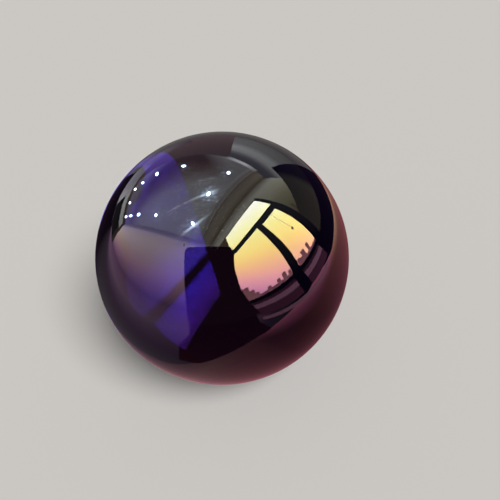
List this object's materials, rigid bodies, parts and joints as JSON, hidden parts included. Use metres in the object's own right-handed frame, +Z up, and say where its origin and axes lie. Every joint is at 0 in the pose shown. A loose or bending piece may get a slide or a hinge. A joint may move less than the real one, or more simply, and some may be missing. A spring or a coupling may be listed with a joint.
{
  "type": "glass sphere",
  "caption": "Solid polished ball of deep violet-blue transparent glass, plain all over, with no bore, flat or base of its own.",
  "frame": {"origin": "centre of the ball", "axes": "+Z up; the ball is the same about every axis through its centre, and -Z is the side that a stand would hold"},
  "size_m": [0.06, 0.06, 0.06],
  "materials": {
    "violet_glass": "polished transparent glass, tinted deep violet-blue through its whole depth, with a light film of finger grease"
  },
  "bodies": {
    "root": {"glass_sphere": "violet_glass"}
  },
  "joints": []
}
